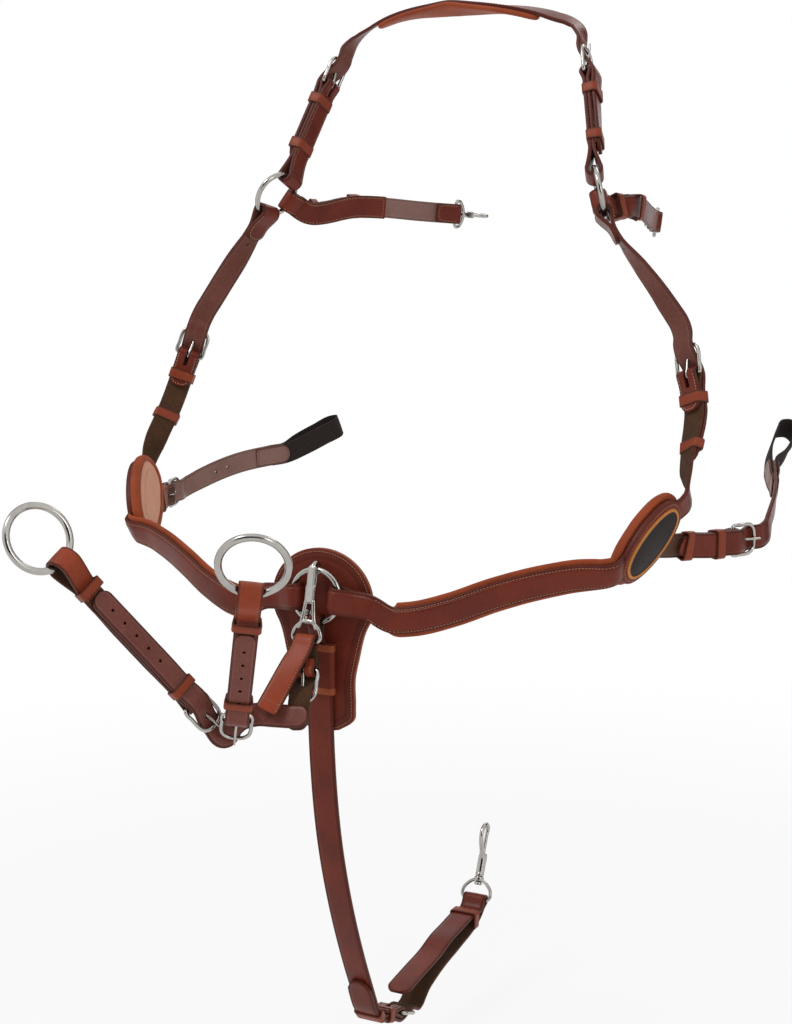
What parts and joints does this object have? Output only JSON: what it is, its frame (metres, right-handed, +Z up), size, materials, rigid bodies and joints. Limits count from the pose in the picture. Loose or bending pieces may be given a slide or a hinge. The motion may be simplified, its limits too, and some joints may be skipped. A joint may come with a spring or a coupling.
{
  "type": "five-point breastplate",
  "caption": "Horse's breastplate of leather straps with padded shoulders, snaps for the saddle and girth, and a forked attachment with rings for the reins.",
  "frame": {"origin": "middle of the underside of the withers pad, where the breastplate rests on the horse", "axes": "+X to the horse's left as seen from the front, so to the right in the front view, +Y back along the horse, +Z up"},
  "size_m": [0.6317, 0.6589, 0.9701],
  "materials": {
    "bridle_leather": "waxed mahogany bridle leather with creased edges and cream stitching",
    "lining_leather": "soft chestnut lining leather over thin padding",
    "polished_steel": "polished stainless steel wire and castings"
  },
  "bodies": {
    "neck_loop": {"wither_strap": "bridle_leather", "left_connector": "bridle_leather", "left_neck_strap": "bridle_leather", "left_shoulder_strap": "bridle_leather", "left_shoulder_facing": "bridle_leather", "left_shoulder_pad": "lining_leather", "left_breast_strap": "bridle_leather", "left_side_tab": "bridle_leather", "left_side_billet": "bridle_leather", "left_wither_buckle": "polished_steel", "left_neck_buckle": "polished_steel", "left_side_buckle": "polished_steel", "right_connector": "bridle_leather", "right_neck_strap": "bridle_leather", "right_shoulder_strap": "bridle_leather", "right_shoulder_facing": "bridle_leather", "right_shoulder_pad": "lining_leather", "right_breast_strap": "bridle_leather", "right_side_tab": "bridle_leather", "right_side_billet": "bridle_leather", "right_wither_buckle": "polished_steel", "right_neck_buckle": "polished_steel", "right_side_buckle": "polished_steel"},
    "left_wither_tongue_body": {"left_wither_tongue": "polished_steel"},
    "left_neck_tongue_body": {"left_neck_tongue": "polished_steel"},
    "left_side_tongue_body": {"left_side_tongue": "polished_steel"},
    "left_neck_ring_body": {"left_neck_ring": "polished_steel"},
    "left_saddle_strap_body": {"left_saddle_strap": "bridle_leather"},
    "left_saddle_snap_body": {"left_saddle_snap": "polished_steel"},
    "left_saddle_gate_body": {"left_saddle_gate": "polished_steel"},
    "right_wither_tongue_body": {"right_wither_tongue": "polished_steel"},
    "right_neck_tongue_body": {"right_neck_tongue": "polished_steel"},
    "right_side_tongue_body": {"right_side_tongue": "polished_steel"},
    "right_neck_ring_body": {"right_neck_ring": "polished_steel"},
    "right_saddle_strap_body": {"right_saddle_strap": "bridle_leather"},
    "right_saddle_snap_body": {"right_saddle_snap": "polished_steel"},
    "right_saddle_gate_body": {"right_saddle_gate": "polished_steel"},
    "centre_ring_body": {"centre_ring": "polished_steel"},
    "belly_body": {"belly_strap": "bridle_leather", "centre_pad": "bridle_leather", "belly_buckle": "polished_steel", "girth_strap": "bridle_leather"},
    "belly_tongue_body": {"belly_tongue": "polished_steel"},
    "girth_eye_body": {"girth_snap_eye": "polished_steel"},
    "girth_hook_body": {"girth_snap_hook": "polished_steel"},
    "girth_bolt_body": {"girth_snap_bolt": "polished_steel"},
    "martingale_snap_body": {"martingale_snap": "polished_steel"},
    "martingale_gate_body": {"martingale_gate": "polished_steel"},
    "martingale_body": {"martingale_strap": "bridle_leather", "martingale_buckle": "polished_steel", "martingale_fork": "bridle_leather", "left_rein_strap": "bridle_leather", "left_rein_buckle": "polished_steel", "right_rein_strap": "bridle_leather", "right_rein_buckle": "polished_steel"},
    "martingale_tongue_body": {"martingale_tongue": "polished_steel"},
    "left_rein_tongue_body": {"left_rein_tongue": "polished_steel"},
    "left_rein_ring_body": {"left_rein_ring": "polished_steel"},
    "right_rein_tongue_body": {"right_rein_tongue": "polished_steel"},
    "right_rein_ring_body": {"right_rein_ring": "polished_steel"}
  },
  "joints": [
    {"name": "left_wither_tongue_hinge", "type": "hinge", "parent": "neck_loop", "child": "left_wither_tongue_body", "pos_m": [-0.136, 0.003, -0.062], "axis": [-0.0163, -0.9268, 0.3752], "range_deg": [0, 2]},
    {"name": "left_neck_tongue_hinge", "type": "hinge", "parent": "neck_loop", "child": "left_neck_tongue_body", "pos_m": [-0.262, -0.065, -0.326], "axis": [-0.8641, -0.3821, 0.3277], "range_deg": [0, 2]},
    {"name": "left_side_tongue_hinge", "type": "hinge", "parent": "neck_loop", "child": "left_side_tongue_body", "pos_m": [-0.3, -0.049, -0.472], "axis": [0.0186, -0.0368, 0.9992], "range_deg": [0, 2]},
    {"name": "left_neck_ring_turn", "type": "hinge", "parent": "neck_loop", "child": "left_neck_ring_body", "pos_m": [-0.168, -0.047, -0.168], "axis": [-0.8286, 0.2895, 0.4792], "continuous": true},
    {"name": "left_saddle_strap_swing", "type": "hinge", "parent": "neck_loop", "child": "left_saddle_strap_body", "pos_m": [-0.16488, -0.02746, -0.17442], "axis": [-0.5394, -0.1838, -0.8217], "range_deg": [-45, 45]},
    {"name": "left_saddle_snap_swing", "type": "hinge", "parent": "left_saddle_strap_body", "child": "left_saddle_snap_body", "pos_m": [-0.057, 0.124, -0.186], "axis": [-0.0778, -0.0188, -0.9968], "range_deg": [-90, 90]},
    {"name": "left_saddle_gate_hinge", "type": "hinge", "parent": "left_saddle_snap_body", "child": "left_saddle_gate_body", "pos_m": [-0.04811, 0.14262, -0.18705], "axis": [0.0778, 0.0188, 0.9968], "range_deg": [0, 14], "stiffness_Nm_per_rad": 0.01, "springref_deg": -20.05},
    {"name": "right_wither_tongue_hinge", "type": "hinge", "parent": "neck_loop", "child": "right_wither_tongue_body", "pos_m": [0.136, 0.003, -0.062], "axis": [-0.0163, 0.9268, -0.3752], "range_deg": [0, 2]},
    {"name": "right_neck_tongue_hinge", "type": "hinge", "parent": "neck_loop", "child": "right_neck_tongue_body", "pos_m": [0.262, -0.065, -0.326], "axis": [-0.8641, 0.3821, -0.3277], "range_deg": [0, 2]},
    {"name": "right_side_tongue_hinge", "type": "hinge", "parent": "neck_loop", "child": "right_side_tongue_body", "pos_m": [0.3, -0.049, -0.472], "axis": [0, 0, -1], "range_deg": [0, 2]},
    {"name": "right_neck_ring_turn", "type": "hinge", "parent": "neck_loop", "child": "right_neck_ring_body", "pos_m": [0.168, -0.047, -0.168], "axis": [0.8843, 0.4137, 0.2163], "continuous": true},
    {"name": "right_saddle_strap_swing", "type": "hinge", "parent": "neck_loop", "child": "right_saddle_strap_body", "pos_m": [0.16165, -0.02905, -0.17637], "axis": [-0.3532, 0.2897, 0.8896], "range_deg": [-45, 45]},
    {"name": "right_saddle_snap_swing", "type": "hinge", "parent": "right_saddle_strap_body", "child": "right_saddle_snap_body", "pos_m": [0.152, 0.148, -0.194], "axis": [0.0793, 0.1367, 0.9874], "range_deg": [-90, 90]},
    {"name": "right_saddle_gate_hinge", "type": "hinge", "parent": "right_saddle_snap_body", "child": "right_saddle_gate_body", "pos_m": [0.14047, 0.16509, -0.19544], "axis": [-0.0793, -0.1367, -0.9874], "range_deg": [0, 14], "stiffness_Nm_per_rad": 0.01, "springref_deg": -20.05},
    {"name": "centre_ring_turn", "type": "hinge", "parent": "neck_loop", "child": "centre_ring_body", "pos_m": [0, -0.263, -0.511], "axis": [0, 1, 0], "continuous": true},
    {"name": "belly_strap_swing", "type": "hinge", "parent": "neck_loop", "child": "belly_body", "pos_m": [0, -0.263, -0.5336], "axis": [1, 0, 0], "range_deg": [-20, 1]},
    {"name": "belly_tongue_hinge", "type": "hinge", "parent": "belly_body", "child": "belly_tongue_body", "pos_m": [0, -0.126, -0.943], "axis": [-1, 0, 0], "range_deg": [0, 2]},
    {"name": "girth_snap_swing", "type": "hinge", "parent": "belly_body", "child": "girth_eye_body", "pos_m": [0, 0.063, -0.895], "axis": [1, 0, 0], "range_deg": [-90, 90]},
    {"name": "girth_snap_swivel", "type": "hinge", "parent": "girth_eye_body", "child": "girth_hook_body", "pos_m": [0, 0.071, -0.87667], "axis": [0, 0.4002, 0.9164], "continuous": true},
    {"name": "girth_bolt_slide", "type": "slide", "parent": "girth_hook_body", "child": "girth_bolt_body", "axis": [0, 0.4002, 0.9164], "range_m": [-0.005, 0], "stiffness_N_per_m": 200, "springref_m": 0.004},
    {"name": "martingale_snap_swing", "type": "hinge", "parent": "neck_loop", "child": "martingale_snap_body", "pos_m": [0, -0.263, -0.488], "axis": [-1, 0, 0], "range_deg": [0, 45]},
    {"name": "martingale_gate_hinge", "type": "hinge", "parent": "martingale_snap_body", "child": "martingale_gate_body", "pos_m": [0, -0.27032, -0.52444], "axis": [1, 0, 0], "range_deg": [0, 7], "stiffness_Nm_per_rad": 0.01, "springref_deg": -20.05},
    {"name": "martingale_swing", "type": "hinge", "parent": "martingale_snap_body", "child": "martingale_body", "pos_m": [0, -0.28, -0.547], "axis": [1, 0, 0], "range_deg": [-45, 30]},
    {"name": "martingale_tongue_hinge", "type": "hinge", "parent": "martingale_body", "child": "martingale_tongue_body", "pos_m": [0.004, -0.28926, -0.57101], "axis": [0.9874, 0.0902, 0.1297], "range_deg": [0, 2]},
    {"name": "left_rein_tongue_hinge", "type": "hinge", "parent": "martingale_body", "child": "left_rein_tongue_body", "pos_m": [-0.0608, -0.3622, -0.5889], "axis": [-0.1557, -0.8167, -0.5557], "range_deg": [0, 2]},
    {"name": "left_rein_ring_turn", "type": "hinge", "parent": "martingale_body", "child": "left_rein_ring_body", "pos_m": [-0.154, -0.4416, -0.4461], "axis": [0.8325, -0.4113, 0.3711], "continuous": true},
    {"name": "right_rein_tongue_hinge", "type": "hinge", "parent": "martingale_body", "child": "right_rein_tongue_body", "pos_m": [-0.0225, -0.3545, -0.597], "axis": [-0.8491, -0.5155, 0.1151], "range_deg": [0, 2]},
    {"name": "right_rein_ring_turn", "type": "hinge", "parent": "martingale_body", "child": "right_rein_ring_body", "pos_m": [0.032, -0.413, -0.457], "axis": [0.4212, -0.7923, -0.4413], "continuous": true}
  ]
}
